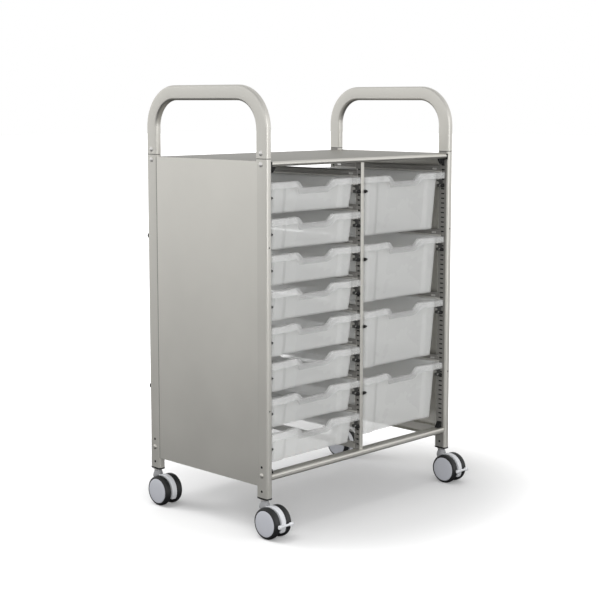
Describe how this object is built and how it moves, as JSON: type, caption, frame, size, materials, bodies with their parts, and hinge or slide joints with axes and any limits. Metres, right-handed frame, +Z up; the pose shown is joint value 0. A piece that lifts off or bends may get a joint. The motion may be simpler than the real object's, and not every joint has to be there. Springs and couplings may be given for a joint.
{
  "type": "storage tray trolley",
  "caption": "Wheeled classroom trolley: painted tube frame with end handles, top shelf and two columns of pull-out storage trays on runners.",
  "frame": {"origin": "on the floor, in the middle of the trolley's bounding box", "axes": "+Z up, +X across the two columns of trays, -Y the front, the way the trays pull out"},
  "size_m": [0.7186, 0.4848, 1.05],
  "materials": {
    "frame_paint": "satin",
    "panel_paint": "satin",
    "runner_steel": "satin",
    "tray_plastic": "frosted translucent",
    "castor_plastic": "satin",
    "tyre": "matt"
  },
  "bodies": {
    "frame": {"side_frame_left": "frame_paint", "side_frame_right": "frame_paint", "side_panel_left": "panel_paint", "side_panel_right": "panel_paint", "handle_left": "frame_paint", "handle_right": "frame_paint", "top_shelf": "panel_paint", "foot_rail_front": "frame_paint", "foot_rail_back": "frame_paint", "divider_frame": "frame_paint", "runner_a_1": "runner_steel", "runner_a_2": "runner_steel", "runner_a_3": "runner_steel", "runner_a_4": "runner_steel", "runner_a_5": "runner_steel", "runner_a_6": "runner_steel", "runner_a_7": "runner_steel", "runner_a_8": "runner_steel", "runner_b_1": "runner_steel", "runner_b_2": "runner_steel", "runner_b_3": "runner_steel", "runner_b_4": "runner_steel", "runner_b_5": "runner_steel", "runner_b_6": "runner_steel", "runner_b_7": "runner_steel", "runner_b_8": "runner_steel", "runner_c_1": "runner_steel", "runner_c_2": "runner_steel", "runner_c_3": "runner_steel", "runner_c_4": "runner_steel", "runner_d_1": "runner_steel", "runner_d_2": "runner_steel", "runner_d_3": "runner_steel", "runner_d_4": "runner_steel"},
    "shallow_tray_1": {"shallow_tray_1": "tray_plastic"},
    "shallow_tray_2": {"shallow_tray_2": "tray_plastic"},
    "shallow_tray_3": {"shallow_tray_3": "tray_plastic"},
    "shallow_tray_4": {"shallow_tray_4": "tray_plastic"},
    "shallow_tray_5": {"shallow_tray_5": "tray_plastic"},
    "shallow_tray_6": {"shallow_tray_6": "tray_plastic"},
    "shallow_tray_7": {"shallow_tray_7": "tray_plastic"},
    "shallow_tray_8": {"shallow_tray_8": "tray_plastic"},
    "deep_tray_1": {"deep_tray_1": "tray_plastic"},
    "deep_tray_2": {"deep_tray_2": "tray_plastic"},
    "deep_tray_3": {"deep_tray_3": "tray_plastic"},
    "deep_tray_4": {"deep_tray_4": "tray_plastic"},
    "castor_fl": {"castor_housing_fl": "castor_plastic"},
    "wheel_fl_left": {"wheel_fl_left": "tyre"},
    "wheel_fl_right": {"wheel_fl_right": "tyre"},
    "brake_pedal_fl": {"brake_pedal_fl": "castor_plastic"},
    "castor_fr": {"castor_housing_fr": "castor_plastic"},
    "wheel_fr_left": {"wheel_fr_left": "tyre"},
    "wheel_fr_right": {"wheel_fr_right": "tyre"},
    "brake_pedal_fr": {"brake_pedal_fr": "castor_plastic"},
    "castor_bl": {"castor_housing_bl": "castor_plastic"},
    "wheel_bl_left": {"wheel_bl_left": "tyre"},
    "wheel_bl_right": {"wheel_bl_right": "tyre"},
    "castor_br": {"castor_housing_br": "castor_plastic"},
    "wheel_br_left": {"wheel_br_left": "tyre"},
    "wheel_br_right": {"wheel_br_right": "tyre"}
  },
  "joints": [
    {"name": "slide_shallow_1", "type": "slide", "parent": "frame", "child": "shallow_tray_1", "axis": [0, -1, 0], "range_m": [0, 0.38]},
    {"name": "slide_shallow_2", "type": "slide", "parent": "frame", "child": "shallow_tray_2", "axis": [0, -1, 0], "range_m": [0, 0.38]},
    {"name": "slide_shallow_3", "type": "slide", "parent": "frame", "child": "shallow_tray_3", "axis": [0, -1, 0], "range_m": [0, 0.38]},
    {"name": "slide_shallow_4", "type": "slide", "parent": "frame", "child": "shallow_tray_4", "axis": [0, -1, 0], "range_m": [0, 0.38]},
    {"name": "slide_shallow_5", "type": "slide", "parent": "frame", "child": "shallow_tray_5", "axis": [0, -1, 0], "range_m": [0, 0.38]},
    {"name": "slide_shallow_6", "type": "slide", "parent": "frame", "child": "shallow_tray_6", "axis": [0, -1, 0], "range_m": [0, 0.38]},
    {"name": "slide_shallow_7", "type": "slide", "parent": "frame", "child": "shallow_tray_7", "axis": [0, -1, 0], "range_m": [0, 0.38]},
    {"name": "slide_shallow_8", "type": "slide", "parent": "frame", "child": "shallow_tray_8", "axis": [0, -1, 0], "range_m": [0, 0.38]},
    {"name": "slide_deep_1", "type": "slide", "parent": "frame", "child": "deep_tray_1", "axis": [0, -1, 0], "range_m": [0, 0.38]},
    {"name": "slide_deep_2", "type": "slide", "parent": "frame", "child": "deep_tray_2", "axis": [0, -1, 0], "range_m": [0, 0.38]},
    {"name": "slide_deep_3", "type": "slide", "parent": "frame", "child": "deep_tray_3", "axis": [0, -1, 0], "range_m": [0, 0.38]},
    {"name": "slide_deep_4", "type": "slide", "parent": "frame", "child": "deep_tray_4", "axis": [0, -1, 0], "range_m": [0, 0.38]},
    {"name": "swivel_fl", "type": "hinge", "parent": "frame", "child": "castor_fl", "pos_m": [-0.33185, -0.16945, 0.087], "axis": [0, 0, 1], "continuous": true},
    {"name": "roll_fl_left", "type": "hinge", "parent": "castor_fl", "child": "wheel_fl_left", "pos_m": [-0.33185, -0.19645, 0.0375], "axis": [1, 0, 0], "continuous": true},
    {"name": "roll_fl_right", "type": "hinge", "parent": "castor_fl", "child": "wheel_fl_right", "pos_m": [-0.33185, -0.19645, 0.0375], "axis": [1, 0, 0], "continuous": true},
    {"name": "brake_fl", "type": "hinge", "parent": "castor_fl", "child": "brake_pedal_fl", "pos_m": [-0.33185, -0.22645, 0.0375], "axis": [1, 0, 0], "range_deg": [0, 15]},
    {"name": "swivel_fr", "type": "hinge", "parent": "frame", "child": "castor_fr", "pos_m": [0.33185, -0.16945, 0.087], "axis": [0, 0, 1], "continuous": true},
    {"name": "roll_fr_left", "type": "hinge", "parent": "castor_fr", "child": "wheel_fr_left", "pos_m": [0.33185, -0.19645, 0.0375], "axis": [1, 0, 0], "continuous": true},
    {"name": "roll_fr_right", "type": "hinge", "parent": "castor_fr", "child": "wheel_fr_right", "pos_m": [0.33185, -0.19645, 0.0375], "axis": [1, 0, 0], "continuous": true},
    {"name": "brake_fr", "type": "hinge", "parent": "castor_fr", "child": "brake_pedal_fr", "pos_m": [0.33185, -0.22645, 0.0375], "axis": [1, 0, 0], "range_deg": [0, 15]},
    {"name": "swivel_bl", "type": "hinge", "parent": "frame", "child": "castor_bl", "pos_m": [-0.33185, 0.21775, 0.087], "axis": [0, 0, 1], "continuous": true},
    {"name": "roll_bl_left", "type": "hinge", "parent": "castor_bl", "child": "wheel_bl_left", "pos_m": [-0.33185, 0.19075, 0.0375], "axis": [1, 0, 0], "continuous": true},
    {"name": "roll_bl_right", "type": "hinge", "parent": "castor_bl", "child": "wheel_bl_right", "pos_m": [-0.33185, 0.19075, 0.0375], "axis": [1, 0, 0], "continuous": true},
    {"name": "swivel_br", "type": "hinge", "parent": "frame", "child": "castor_br", "pos_m": [0.33185, 0.21775, 0.087], "axis": [0, 0, 1], "continuous": true},
    {"name": "roll_br_left", "type": "hinge", "parent": "castor_br", "child": "wheel_br_left", "pos_m": [0.33185, 0.19075, 0.0375], "axis": [1, 0, 0], "continuous": true},
    {"name": "roll_br_right", "type": "hinge", "parent": "castor_br", "child": "wheel_br_right", "pos_m": [0.33185, 0.19075, 0.0375], "axis": [1, 0, 0], "continuous": true}
  ]
}
